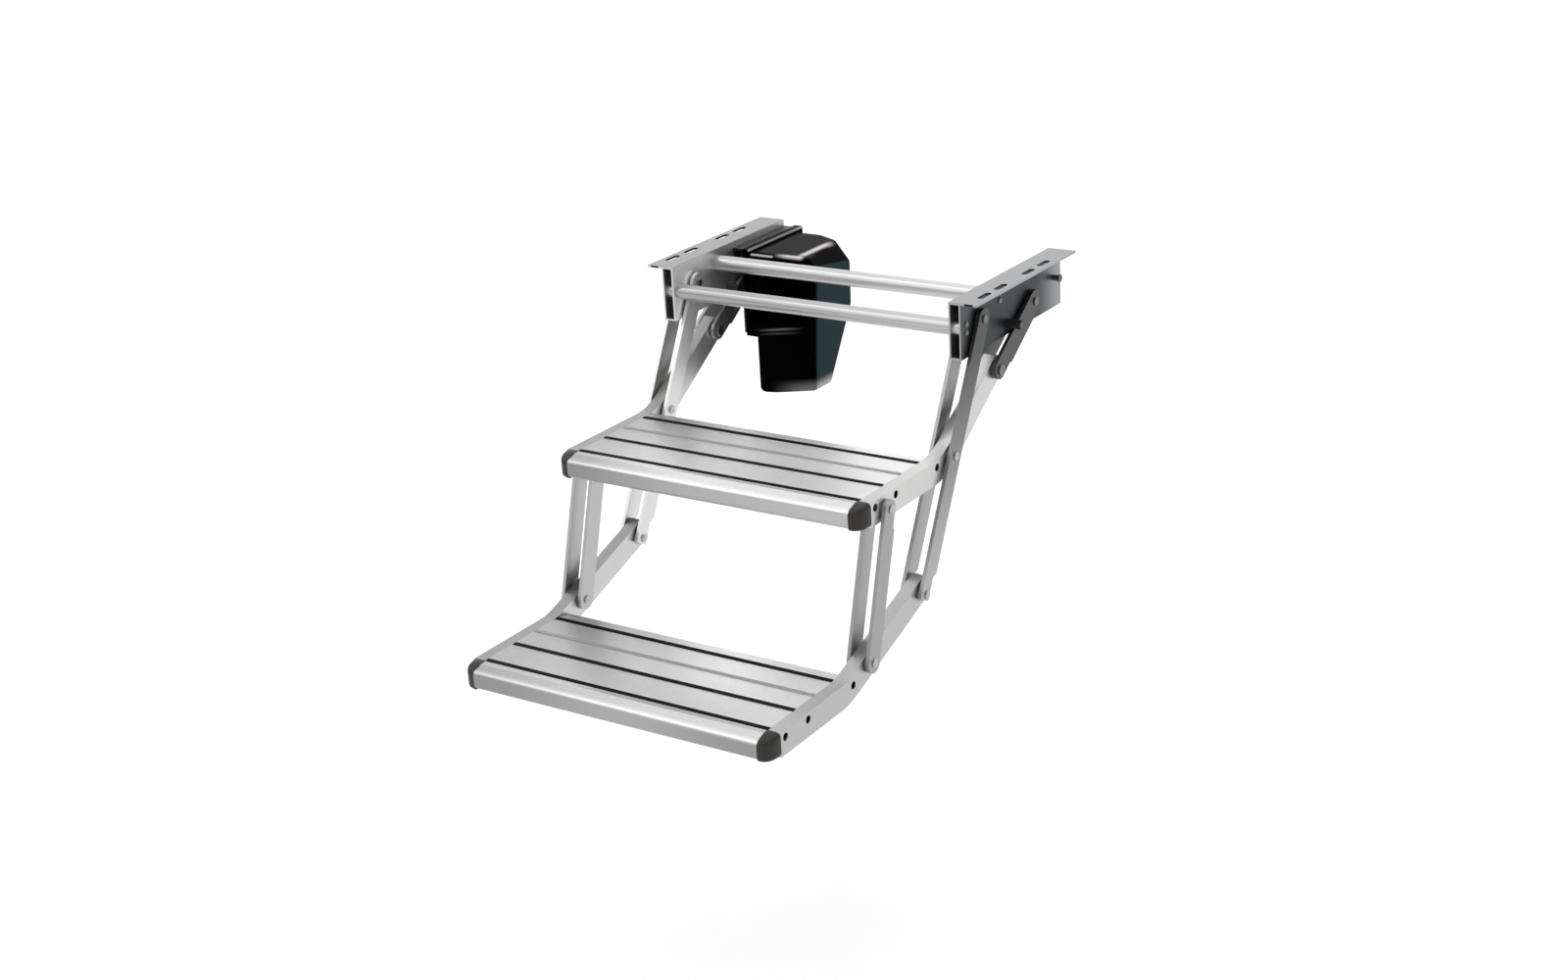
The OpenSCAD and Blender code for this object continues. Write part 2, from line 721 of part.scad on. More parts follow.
module drive_link(x0, shaft_hole = pivot_d) {
    color([0.38, 0.38, 0.38])
        link_plate(x0, p_drive, p_upper_drive, drive_half, false, shaft_hole, [p_upper_drive]);
}

module front_link(x0) {
    color([0.74, 0.74, 0.75])
        link_plate(x0, p_upper_front, p_lower_front, lever_half, true, pivot_d, [p_lower_front]);
}

module left_inner_long_lever() mirror([1, 0, 0]) long_lever(inner_plate_x);

module left_outer_long_lever() mirror([1, 0, 0]) long_lever(outer_plate_x);

module right_inner_long_lever() long_lever(inner_plate_x);

module right_outer_long_lever() long_lever(outer_plate_x);

module left_inner_drive_link() mirror([1, 0, 0]) drive_link(inner_plate_x, shaft_d);

module left_outer_drive_link() mirror([1, 0, 0]) drive_link(outer_plate_x, shaft_d);

module right_inner_drive_link() drive_link(inner_plate_x);

module right_outer_drive_link() drive_link(outer_plate_x);

module left_inner_front_link() mirror([1, 0, 0]) front_link(inner_plate_x);

module left_outer_front_link() mirror([1, 0, 0]) front_link(outer_plate_x);

module right_inner_front_link() front_link(inner_plate_x);

module right_outer_front_link() front_link(outer_plate_x);

// Pivot bolts, shafts and rivets

module pivot_bolt(at) {
    pin_x(at, pivot_d, inner_plate_x, outer_plate_x + plate_t);
    head_x(at, pivot_head_d, outer_plate_x + plate_t, pivot_head_h, 1);
    head_x(at, pivot_head_d, inner_plate_x, pivot_head_h, -1);
}

// A rivet that fills one plate only, so the joint it belongs to can open
module plate_rivets(at, head_d) {
    pin_x(at, pivot_d, inner_plate_x, inner_plate_x + plate_t);
    head_x(at, head_d, inner_plate_x, pivot_head_h, -1);
    pin_x(at, pivot_d, outer_plate_x, outer_plate_x + plate_t);
    head_x(at, head_d, outer_plate_x + plate_t, pivot_head_h, 1);
}

// The length of that joint's pin that stays in the side rail's bushes
module rail_pin(at) {
    pin_x(at, pivot_d, side_in - plate_gap + bush_gap, side_out + plate_gap - bush_gap);
}

module long_lever_bolts() {
    color([0.66, 0.67, 0.68]) both_sides() for (at = [p_top, p_middle, p_bottom]) pivot_bolt(at);
}

module right_drive_bolt() {
    color([0.66, 0.67, 0.68]) pivot_bolt(p_drive);
}

module drive_shaft() {
    color([0.66, 0.67, 0.68]) mirror([1, 0, 0]) {
        pin_x(p_drive, shaft_d, bracket_x - bracket_t - gearbox_w + 2 * cover_wall, outer_plate_x + plate_t);
        head_x(p_drive, shaft_d + 2 * bush_wall, outer_plate_x + plate_t, pivot_head_h, 1);
    }
}

module drive_link_rivets() {
    color([0.66, 0.67, 0.68]) both_sides() plate_rivets(p_upper_drive, drive_head_d);
}

module front_link_bolts() {
    color([0.66, 0.67, 0.68]) both_sides() pivot_bolt(p_upper_front);
}

module front_link_rivets() {
    color([0.66, 0.67, 0.68]) both_sides() plate_rivets(p_lower_front, pivot_head_d);
}

module upper_drive_pins() {
    color([0.66, 0.67, 0.68]) both_sides() rail_pin(p_upper_drive);
}

module lower_front_pins() {
    color([0.66, 0.67, 0.68]) both_sides() rail_pin(p_lower_front);
}

// Treads, drawn from the nose back and from the deck's top down

nose_top_y = nose_drop / tan(nose_slope);
nose_d = nose_top_y + nose_r * tan(nose_slope / 2) + nose_land + nose_wall;
groove_first = nose_r * tan(45 - nose_slope / 2);
groove_last = nose_drop / sin(nose_slope) - nose_r * tan(nose_slope / 2);

module nose_outline(inset) {
    polygon(rounded([
        [0, -nose_h, nose_foot_r], [nose_d, -nose_h, 0], [nose_d, 0, 0], [nose_top_y, 0, nose_r],
        [0, -nose_drop, nose_r]
    ], inset));
}

module nose_groove_marks() {
    for (i = [1 : nose_grooves])
        translate([0, -nose_drop]) rotate(nose_slope)
            translate([groove_first + i / (nose_grooves + 1) * (groove_last - groove_first), 0])
                circle(r = nose_groove_r);
}

// Hook-shaped rear lip with a rounded top corner
module lip_outline() {
    translate([tread_d - port_rear_in, -port_rear_in]) intersection() {
        circle(r = port_rear_in);
        square(port_rear_in);
    }
    translate([tread_d - rib_t, -port_drop - port_d / 2]) square([rib_t, port_drop + port_d / 2 - port_rear_in / 2]);
}

module tread_outline() {
    difference() {
        union() {
            nose_outline(0);
            translate([nose_d - nose_wall, -deck_t])
                square([tread_d - port_rear_in - nose_d + nose_wall + edge_break, deck_t]);
            for (y = strip_ys) translate([y - strip_w / 2 - strip_depth, -deck_t - strip_depth])
                square([strip_w + 2 * strip_depth, deck_t]);
            for (y = rib_ys) translate([y - rib_t / 2, -rib_h]) square([rib_t, rib_h - deck_t / 2]);
            for (y = port_ys) {
                translate([y, -port_drop]) circle(d = port_d);
                translate([y - port_d / 4, -port_drop]) square([port_d / 2, port_drop - deck_t / 2]);
            }
            lip_outline();
        }
        nose_outline(nose_wall);
        for (y = strip_ys) translate([y - strip_w / 2, -strip_depth]) square([strip_w, strip_depth + cut]);
        for (y = port_ys) translate([y, -port_drop]) circle(d = tread_screw_d);
        nose_groove_marks();
    }
}

module tread() {
    color([0.78, 0.78, 0.79]) along_x(-side_in, side_in) tread_outline();
}

module strip(y) {
    along_x(-side_in, side_in) translate([y - strip_w / 2 + strip_gap, -strip_depth])
        square([strip_w - 2 * strip_gap, strip_depth + strip_proud]);
}

module black_strips() {
    color([0.07, 0.07, 0.07]) for (y = black_ys) strip(y);
}

module grey_strip() {
    color([0.60, 0.60, 0.60]) strip(strip_grey_y);
}

// Bent side rail: a level front, a bend and a rising arm

function arm_mid(a, b) = (a + b) / 2;
function arm_foot_y(mid, rise) = mid[0] - (mid[1] + side_h / 2) / tan(rise);

// first and last are the pivots on the arm; over is the arm's length past last.
// The hollow is the same outline, set inwards and open at both ends.
module side_outline(first, last, rise, over, inset) {
    foot = [arm_foot_y(arm_mid(first, last), rise), -side_h / 2];
    dir = [cos(rise), sin(rise)];
    up = [-sin(rise), cos(rise)];
    half = side_h / 2;
    mitre = half * tan(rise / 2);
    past_end = inset > 0 ? inset + cut : 0;
    front = side_front_y - past_end;
    arm_end = foot + ((last - foot) * dir + over + past_end) * dir;
    end_r = inset > 0 ? 0 : arm_corner_r;
    polygon(rounded([
        [front, -side_h, 0],
        [foot[0] + mitre, -side_h, bend_r + half],
        concat(arm_end - half * up, end_r),
        concat(arm_end + half * up, end_r),
        [foot[0] - mitre, 0, bend_r - half],
        [front, 0, 0]
    ], inset));
}

module side_rail(first, last, rise, over, bush_holes) {
    color([0.74, 0.74, 0.75]) difference() {
        along_x(side_in, side_out) side_outline(first, last, rise, over, 0);
        along_x(side_in + side_wall, side_out - side_wall) side_outline(first, last, rise, over, side_wall);
        for (at = bush_holes) pin_x(at, bush_sleeve_d + 2 * seat_gap, side_in - cut, side_out + cut);
        for (y = port_ys) {
            pin_x([y, -port_drop], tread_screw_d + 2 * seat_gap, side_in - cut, side_in + side_wall + cut);
            pin_x([y, -port_drop], tread_screw_head_d + side_wall, side_out - side_wall - cut, side_out + cut);
        }
    }
}

module tread_screws() {
    color([0.30, 0.30, 0.31]) both_sides() for (y = port_ys) {
        seat = side_in + side_wall;
        pin_x([y, -port_drop], tread_screw_d - 2 * seat_gap, seat - tread_screw_l, seat);
        difference() {
            head_x([y, -port_drop], tread_screw_head_d, seat, tread_screw_head_h, 1);
            translate([seat + tread_screw_head_h / 3, y, -port_drop]) rotate([0, 90, 0])
                cylinder(d = 0.7 * tread_screw_d, h = tread_screw_head_h, $fn = 6);
        }
    }
}

// End cap: follows the nose's outline, closes the side rail and is rounded towards the outside

module end_cap_form() {
    foot = -(nose_h + side_h) / 2;
    rear = side_front_y - cap_proud;
    width = side_w + cap_proud;
    intersection() {
        along_x(side_in, side_in + width) polygon(rounded([
            [0, foot, nose_foot_r], [rear, foot, 0], [rear, 0, 0], [nose_top_y, 0, nose_r], [0, -nose_drop, nose_r]
        ], -cap_proud));
        translate([side_in, 0, foot - cut]) linear_extrude(cut - foot + cut) polygon(rounded([
            [-cap_corner_r, -cap_proud, 0], [width, -cap_proud, cap_corner_r],
            [width, side_front_y + cut, 0], [-cap_corner_r, side_front_y + cut, 0]
        ]));
    }
}

module end_cap() {
    shrink = side_wall + cap_spigot_gap;
    color([0.22, 0.22, 0.21]) {
        end_cap_form();
        translate([side_in + shrink, side_front_y, -side_h + shrink])
            cube([side_w - 2 * shrink, cap_spigot_l, side_h - 2 * shrink]);
    }
}

module at_upper() translate([0, upper_at[0], upper_at[1]]) children();

module at_lower() translate([0, lower_at[0], lower_at[1]]) children();

module upper_side_rail() {
    side_rail(upper_lever, upper_drive, upper_rise, upper_arm_over, [upper_lever, upper_drive, upper_front]);
}

module lower_side_rail() {
    side_rail(lower_front, lower_lever, lower_rise, lower_arm_over, [lower_lever, lower_front]);
}

module upper_tread() at_upper() tread();

module upper_black_strips() at_upper() black_strips();

module upper_grey_strip() at_upper() grey_strip();

module upper_left_side_rail() at_upper() mirror([1, 0, 0]) upper_side_rail();

module upper_right_side_rail() at_upper() upper_side_rail();

module upper_left_end_cap() at_upper() mirror([1, 0, 0]) end_cap();

module upper_right_end_cap() at_upper() end_cap();

module upper_tread_screws() at_upper() tread_screws();

module upper_bushes() {
    color([0.85, 0.85, 0.82]) both_sides()
        for (at = [p_middle, p_upper_drive, p_upper_front]) bush_pair(at, side_w);
}

module lower_tread() at_lower() tread();

module lower_black_strips() at_lower() black_strips();

module lower_grey_strip() at_lower() grey_strip();

module lower_left_side_rail() at_lower() mirror([1, 0, 0]) lower_side_rail();

module lower_right_side_rail() at_lower() lower_side_rail();

module lower_left_end_cap() at_lower() mirror([1, 0, 0]) end_cap();

module lower_right_end_cap() at_lower() end_cap();

module lower_tread_screws() at_lower() tread_screws();

module lower_bushes() {
    color([0.85, 0.85, 0.82]) both_sides() for (at = [p_bottom, p_lower_front]) bush_pair(at, side_w);
}

left_rail();
right_rail();
front_tube();
rear_tube();
tube_plugs();
tube_screws();
stop_pins();
stop_sleeves();
rear_pegs();
rail_bushes();
motor_bracket();
bracket_screws();
gearbox();
motor();
motor_cover();
cover_screws();
left_inner_long_lever();
left_outer_long_lever();
right_inner_long_lever();
right_outer_long_lever();
long_lever_bolts();
left_inner_drive_link();
left_outer_drive_link();
right_inner_drive_link();
right_outer_drive_link();
drive_shaft();
right_drive_bolt();
drive_link_rivets();
left_inner_front_link();
left_outer_front_link();
right_inner_front_link();
right_outer_front_link();
front_link_bolts();
front_link_rivets();
upper_tread();
upper_black_strips();
upper_grey_strip();
upper_left_side_rail();
upper_right_side_rail();
upper_left_end_cap();
upper_right_end_cap();
upper_tread_screws();
upper_bushes();
upper_drive_pins();
lower_tread();
lower_black_strips();
lower_grey_strip();
lower_left_side_rail();
lower_right_side_rail();
lower_left_end_cap();
lower_right_end_cap();
lower_tread_screws();
lower_bushes();
lower_front_pins();
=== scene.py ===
"""Looks of the folding double entry step: two aluminium treads on flat levers, folded by a gear motor."""

import math

import bpy
import numpy as np
from mathutils import Matrix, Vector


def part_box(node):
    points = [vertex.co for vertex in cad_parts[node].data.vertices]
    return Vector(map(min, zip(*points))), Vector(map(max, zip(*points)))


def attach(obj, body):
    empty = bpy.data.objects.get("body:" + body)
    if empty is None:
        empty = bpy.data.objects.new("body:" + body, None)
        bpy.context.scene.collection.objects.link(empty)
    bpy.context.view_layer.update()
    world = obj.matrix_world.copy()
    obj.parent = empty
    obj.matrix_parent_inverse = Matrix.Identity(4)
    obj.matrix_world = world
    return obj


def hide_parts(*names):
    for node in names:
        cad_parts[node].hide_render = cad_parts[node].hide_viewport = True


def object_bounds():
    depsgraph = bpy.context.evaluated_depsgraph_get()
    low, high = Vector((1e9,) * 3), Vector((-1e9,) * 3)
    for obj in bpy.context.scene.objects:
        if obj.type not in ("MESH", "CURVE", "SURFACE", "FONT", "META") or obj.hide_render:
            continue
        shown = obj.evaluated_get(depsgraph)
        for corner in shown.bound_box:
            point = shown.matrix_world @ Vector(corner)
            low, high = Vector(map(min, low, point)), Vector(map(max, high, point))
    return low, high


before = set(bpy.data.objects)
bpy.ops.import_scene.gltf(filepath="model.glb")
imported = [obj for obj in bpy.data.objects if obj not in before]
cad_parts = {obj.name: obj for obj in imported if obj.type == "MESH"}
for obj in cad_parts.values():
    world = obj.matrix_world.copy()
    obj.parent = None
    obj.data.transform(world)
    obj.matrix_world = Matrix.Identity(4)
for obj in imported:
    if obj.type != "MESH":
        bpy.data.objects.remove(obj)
cad_low, cad_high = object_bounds()
look = bpy.context.scene.view_settings
look.view_transform = "Standard"

# Studio.
# The step hangs above a plain pale floor, in the soft light of a white room. The camera
# stands to the right in front of it and looks down, as the photographer's did.
MM = 0.001
CAMERA_AT = (1.63586, -2.64959, 0.84498)
CAMERA_TURN, CAMERA_DIP, CAMERA_ROLL = (math.radians(angle) for angle in (33.818, 20.775, -3.171))
CAMERA_LENS, CAMERA_FILM = 52.89, 36
FLOOR_GAP, FLOOR_REACH = 420 * MM, 60.0
ROOM_LIGHT = 0.74


def camera_axes(turn, dip, roll):
    """Right, up and back of a camera turned about the upright, dipped and then rolled about its view."""
    back = np.array([math.sin(turn) * math.cos(dip), -math.cos(turn) * math.cos(dip), math.sin(dip)])
    right = np.array([math.cos(turn), math.sin(turn), 0.0])
    up = np.cross(back, right)
    c, s = math.cos(roll), math.sin(roll)
    return np.column_stack([c * right + s * up, c * up - s * right, back])


camera = bpy.data.objects.new("camera", bpy.data.cameras.new("camera"))
camera.data.lens, camera.data.sensor_width = CAMERA_LENS, CAMERA_FILM
camera.data.clip_start = 50 * MM
camera_turn = Matrix(camera_axes(CAMERA_TURN, CAMERA_DIP, CAMERA_ROLL).tolist()).to_4x4()
camera.matrix_world = Matrix.Translation(CAMERA_AT) @ camera_turn
bpy.context.scene.collection.objects.link(camera)
bpy.context.scene.camera = camera

floor_mesh = bpy.data.meshes.new("floor")
floor_corners = np.array([[-1, -1], [1, -1], [1, 1], [-1, 1]]) * FLOOR_REACH
floor_heights = np.full(4, cad_low[2] - FLOOR_GAP)
floor_mesh.from_pydata(np.column_stack([floor_corners, floor_heights]).tolist(), [], [(0, 1, 2, 3)])
floor = bpy.data.objects.new("floor", floor_mesh)
bpy.context.scene.collection.objects.link(floor)
floor_paint = bpy.data.materials.new("pale_floor")
floor_paint.use_nodes = True
floor_shader = floor_paint.node_tree.nodes["Principled BSDF"]
floor_shader.inputs["Base Color"].default_value = (0.96, 0.96, 0.96, 1)
floor_shader.inputs["Roughness"].default_value = 0.9
floor_shader.inputs["Specular IOR Level"].default_value = 0.0
floor_mesh.materials.append(floor_paint)

world = bpy.data.worlds.new("white_room")
bpy.context.scene.world = world
world.use_nodes = True
world.node_tree.nodes["Background"].inputs["Color"].default_value = (1, 1, 1, 1)
world.node_tree.nodes["Background"].inputs["Strength"].default_value = ROOM_LIGHT


def aim(lamp, name, at, towards):
    """Places a lamp with its back along the line from the point it faces to where it stands."""
    light = bpy.data.objects.new(name, lamp)
    back = np.array(at, float) - np.array(towards, float)
    back /= np.linalg.norm(back)
    right = np.cross([0.0, 0.0, 1.0], back)
    right /= np.linalg.norm(right)
    turn = Matrix(np.column_stack([right, np.cross(back, right), back]).tolist()).to_4x4()
    light.matrix_world = Matrix.Translation(at) @ turn
    bpy.context.scene.collection.objects.link(light)


# The ceiling's light falls evenly from above and a little from behind. The key is a broad
# panel in front on the left, and a small sun above it leaves fine highlights on rounded edges.
ceiling = bpy.data.lights.new("ceiling", "SUN")
ceiling.angle, ceiling.energy = math.radians(120), 1.45
aim(ceiling, "ceiling", (-0.8, 1.1, 2.6), (0, 0, 0))
key = bpy.data.lights.new("key", "AREA")
key.shape, key.size, key.size_y, key.energy = "RECTANGLE", 2.4, 1.6, 11
aim(key, "key", (-1.7, -2.3, 1.5), (-0.3, -0.7, -0.4))
sparkle = bpy.data.lights.new("sparkle", "SUN")
sparkle.angle, sparkle.energy = math.radians(9), 0.10
aim(sparkle, "sparkle", (-0.53, -0.36, 0.77), (0, 0, 0))


# Extruded treads.
# Each is one aluminium extrusion, satin anodised. The deck between the inlaid strips is
# embossed with short fine ridges for grip; the nose is plain, with its extruded grooves.
class Wire:
    """A number or colour inside a finish. Arithmetic on it adds the nodes that work it out."""

    def __init__(self, finish, socket):
        self.finish, self.socket = finish, socket

    def maths(self, operation, *others, first=True):
        """A maths node on this wire and other values, with this wire first or last."""
        values = (self, *others) if first else (*others, self)
        return self.finish.node("ShaderNodeMath", {"operation": operation}, *values)

    def __add__(self, other):
        return self.maths("ADD", other)

    def __sub__(self, other):
        return self.maths("SUBTRACT", other)

    def __rsub__(self, other):
        return self.maths("SUBTRACT", other, first=False)

    def __mul__(self, other):
        return self.maths("MULTIPLY", other)

    def __truediv__(self, other):
        return self.maths("DIVIDE", other)

    def __rtruediv__(self, other):
        return self.maths("DIVIDE", other, first=False)

    def __abs__(self):
        return self.maths("ABSOLUTE")

    __radd__ = __add__
    __rmul__ = __mul__

    def ramp(self, low, high):
        """0 below low, 1 above high and smooth between them."""
        settings = {"interpolation_type": "SMOOTHSTEP"}
        return self.finish.node("ShaderNodeMapRange", settings, self, low, high, 0.0, 1.0)

    def span(self, rise, fall):
        """Rises smoothly from 0 to 1 over one pair of places, and falls back over another."""
        return self.ramp(*rise) * (1 - self.ramp(*fall))

    def near(self, middle, reach):
        """1 at the middle, falling smoothly to 0 at that reach on both sides."""
        return 1 - abs(self - middle).ramp(0.0, reach)

    def ribs(self, pitch):
        """Rises and falls evenly between 0 and 1, once in every pitch."""
        return (self / pitch).maths("PINGPONG", 0.5) * 2


class Finish:
    """A material: a principled shader, its settled values, and the nodes that vary it."""

    def __init__(self, name, colour, rough, **settled):
        self.material = bpy.data.materials.new(name)
        self.material.use_nodes = True
        self.tree = self.material.node_tree
        self.shader = self.tree.nodes["Principled BSDF"]
        self.vary(Base_Color=colour, Roughness=rough, **settled)
        self.place = self.node("ShaderNodeTexCoord", {}, out="Object")

    def settle(self, socket, value):
        """Links a wire to a socket, or sets a plain value on it."""
        if isinstance(value, Wire):
            self.tree.links.new(value.socket, socket)
        elif isinstance(value, tuple) and len(value) == 3 and len(socket.default_value) == 4:
            socket.default_value = (*value, 1)
        else:
            socket.default_value = value

    def vary(self, **values):
        """Feeds sockets of the shader, named with underscores, with wires or plain values."""
        for name, value in values.items():
            self.settle(self.shader.inputs[name.replace("_", " ")], value)
        return self

    def node(self, kind, settings, *values, out=0, **named):
        """Adds a node with its settings, and the values of its sockets in order or by name."""
        made = self.tree.nodes.new(kind)
        for setting, value in settings.items():
            setattr(made, setting, value)
        for index, value in enumerate(values):
            self.settle(made.inputs[index], value)
        for name, value in named.items():
            self.settle(made.inputs[name], value)
        return Wire(self, made.outputs[out])

    def axes(self):
        """The three object coordinates, in metres."""
        split = self.node("ShaderNodeSeparateXYZ", {}, self.place).socket.node
        return [Wire(self, socket) for socket in split.outputs]

    def noise(self, scale, stretch=(1, 1, 1), detail=2.0):
        """Soft random values with that many features a metre, stretched along the axes."""
        spread = self.node("ShaderNodeMapping", {}, self.place, (0, 0, 0), (0, 0, 0), stretch)
        return self.node("ShaderNodeTexNoise", {}, Vector=spread, Scale=scale, Detail=detail)

    def tint(self, dark, light, share):
        """A colour between two, by a share that varies. The mix node takes colours at sockets 6 and 7."""
        mix = self.node("ShaderNodeMix", {"data_type": "RGBA"}, share).socket.node
        self.settle(mix.inputs[6], dark)
        self.settle(mix.inputs[7], light)
        return Wire(self, mix.outputs[2])

    def relief(self, height, depth):
        """Raises the surface by a height from 0 to 1, to that depth in metres."""
        bump = self.node("ShaderNodeBump", {}, Strength=1.0, Distance=depth, Height=height)
        return self.vary(Normal=bump)

    def grain(self, scale, depth, detail=2.0):
        """The grain of moulded or painted stuff, as a relief of soft noise."""
        return self.relief(self.noise(scale, detail=detail), depth)


def dress(finish, *nodes):
    """Gives a finish to nodes of the frame."""
    for name in nodes:
        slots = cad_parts[name].data.materials
        slots.clear()
        slots.append(finish.material)


STREAKS, CLOUDS = 420, 9
STREAK_ROUGH, CLOUD_ROUGH = 0.08, 0.06
ALONG_X, ALONG_Y = (0.02, 1, 1), (1, 0.02, 1)


def metal(name, colour, rough, grain, streak=0.05, shades=()):
    """Satin metal: drawn streaks, a slow change of tone, and shades by place.

    The grain stretches the streaks along an axis, and the streak is how far they change the
    colour. Each shade is a function of the place that gives a colour and its share.
    """
    finish = Finish(name, colour, rough, Metallic=1.0)
    streaks, clouds = finish.noise(STREAKS, grain), finish.noise(CLOUDS)
    finish.vary(Roughness=rough + (streaks - 0.5) * STREAK_ROUGH + (clouds - 0.5) * CLOUD_ROUGH)
    dark, light = (tuple(part * (1 + change) for part in colour) for change in (-streak, streak))
    tone = finish.tint(dark, light, (streaks + clouds) * 0.5)
    place = finish.axes()
    for shade in shades:
        tone = finish.tint(tone, *shade(*place))
    return finish.vary(Base_Color=tone)


NOSE_DEPTH = 25 * MM
RIDGE_PITCH, CUT_PITCH, RIDGE_HEIGHT = 4.0 * MM, 5.0 * MM, 0.45 * MM
DARK_DECK, PAINTED_DECK_LIGHT, RIDGE_SHADE = (0.38, 0.38, 0.38), (0.95, 0.95, 0.955), (0.25, 0.25, 0.25)
NOSE_PAINTED_SHADE, GROOVE_PAINTED_SHADE = (0.17, 0.17, 0.175), (0.02, 0.02, 0.02)


def tread_metal(step, front_light_share, full_light_x, nose_shading_left, nose_shading_right):
    """The metal of one tread: painted light and shade by place, ridges on its deck, and painted shade in the
    grooves for the strips.
    """
    (_, front, _), (_, _, top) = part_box(step + "_tread")
    deck_front = front + NOSE_DEPTH
    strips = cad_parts[step + "_black_strips"].data.vertices
    strip_edges = np.unique(np.round([corner.co[1] for corner in strips], 4))

    def deck_painted_light(x, y, z):
        """Painted light: brighter towards the right and the rear, but less so in the right rear corner."""
        back = y.ramp(front + 30 * MM, front + 130 * MM)
        share = x.ramp(-240 * MM, full_light_x) * (front_light_share + back * (1 - front_light_share))
        return PAINTED_DECK_LIGHT, share * (1 - x.ramp(90 * MM, 200 * MM) * back * 0.2)

    def nose_painted_shade(x, y, z):
        """Painted shade: darker on the upright front of the nose, and a little on its grooved top."""
        upright = (1 - y.ramp(front + 0.3 * MM, front + 3 * MM)) * (1 - z.ramp(top - 11 * MM, top - 7 * MM))
        on_top = (1 - y.ramp(deck_front - 3 * MM, deck_front)) * (1 - upright)
        share = nose_shading_left + x.ramp(-50 * MM, 220 * MM) * (nose_shading_right - nose_shading_left)
        return NOSE_PAINTED_SHADE, upright * share + on_top * x.ramp(-250 * MM, 50 * MM) * 0.3

    def embossing(x, y, z):
        """Short ridges on the deck, 1 on their tops."""
        on_deck = z.ramp(top - 0.6 * MM, top - 0.2 * MM) * y.ramp(deck_front, deck_front + 1 * MM)
        return on_deck * y.ribs(RIDGE_PITCH).ramp(0.2, 0.8) * x.ribs(CUT_PITCH).ramp(0.1, 0.6)

    def ridge_shade(x, y, z):
        """A little duller on the ridges."""
        return RIDGE_SHADE, embossing(x, y, z) * 0.22

    def groove_painted_shade(x, y, z):
        """Painted shade: dark walls and lips of the grooves that hold the black strips."""
        walls = 0
        for near_edge, far_edge in zip(strip_edges[0::2], strip_edges[1::2]):
            middle, half = (near_edge + far_edge) / 2, (far_edge - near_edge) / 2
            walls += 1 - abs(y - middle).ramp(half + 0.5 * MM, half + 1 * MM)
        return GROOVE_PAINTED_SHADE, walls * z.ramp(top - 3 * MM, top - 2.5 * MM)

    shades = (deck_painted_light, nose_painted_shade, ridge_shade, groove_painted_shade)
    finish = metal(step + "_tread_metal", DARK_DECK, 0.34, ALONG_X, shades=shades)
    return finish.relief(embossing(*finish.axes()), RIDGE_HEIGHT)


# For each tread: the share of painted light at its front, the place across from which its painted light is
# full, and how much painted shade darkens its nose at the left and right ends.
TREAD_LIGHT_AND_SHADE = {"upper": (0.78, 20 * MM, 0.66, 0.58), "lower": (0.64, 90 * MM, 0.64, 0.82)}
for step, tread_light_and_shade in TREAD_LIGHT_AND_SHADE.items():
    dress(tread_metal(step, *tread_light_and_shade), step + "_tread")


# Bent side rails.
# Box section of drawn aluminium, bent behind the tread and clear anodised. Three screws
# through the inner wall of each hold the tread.
ALONG_RAIL = (1, 0.05, 0.25)
LEFT_INNER_FACE, RIGHT_OUTER_FACE = (-220.5 * MM, -220.1 * MM), (237.4 * MM, 237.9 * MM)


def inner_face(x, y, z):
    """Painted light: brighter on the left rails' inner faces, which look towards the light."""
    return (0.56, 0.56, 0.56), x.span(LEFT_INNER_FACE, (0, 10 * MM))


def lower_rail_outer_shade(x, y, z):
    """Painted shade: darker on the outer face of the lower step's right rail."""
    return (0.36, 0.36, 0.36), x.ramp(*RIGHT_OUTER_FACE) * (1 - z.ramp(-360 * MM, -330 * MM)) * 0.6


# Painted light and shade: the same rail metal is darker on the left rails than on the right ones.
SIDE_PAINTED_TONES = {"left": (0.27, 0.27, 0.265), "right": (0.58, 0.58, 0.575)}
for side, tone in SIDE_PAINTED_TONES.items():
    side_metal = metal(side + "_side_rail_metal", tone, 0.36, ALONG_RAIL, shades=(inner_face, lower_rail_outer_shade))
    dress(side_metal, f"upper_{side}_side_rail", f"lower_{side}_side_rail")


# Top rails.
# Aluminium box section with a slotted flange that bolts up under the vehicle's floor, duller than the side
# rails. The right one's outer face is darkened by painted shade and a painted dark reflection, which fade
# towards the rear.
FLANGE, SLOT_X = 3 * MM, 250 * MM


def flange_shade_on_top(x, y, z):
    """Painted shade: duller on top of the flange, the face that lies against the vehicle's floor."""
    return (0.30, 0.305, 0.31), z.ramp(-0.6 * MM, -0.2 * MM)


def slot_wall_shade(x, y, z):
    """Painted shade: dark on the walls of the slots."""
    across = 1 - abs(abs(x) - SLOT_X).ramp(6 * MM, 7 * MM)
    within = z.span((-FLANGE + 0.05 * MM, -FLANGE + 0.15 * MM), (-0.15 * MM, -0.05 * MM))
    return (0.015, 0.015, 0.016), across * within


def left_inner(x, y, z):
    """Painted light: brighter on the left rail's inner face, in front of the motor's cover."""
    return (0.86, 0.86, 0.86), x.ramp(*LEFT_INNER_FACE) * (1 - y.ramp(-70 * MM, -10 * MM))


def outer_painted_shade(x, y, z):
    """Painted shade and a painted dark reflection on the right rail's outer face under the flange, less at
    the front end and towards the rear.
    """
    outside = x.ramp(*RIGHT_OUTER_FACE) * (1 - z.ramp(-FLANGE - 0.3 * MM, -FLANGE + 0.3 * MM))
    front_end = 0.86 + y.ramp(-120 * MM, -80 * MM) * 0.14
    return (0.038, 0.048, 0.052), outside * front_end * (1 - y.ramp(80 * MM, 165 * MM) * 0.8)


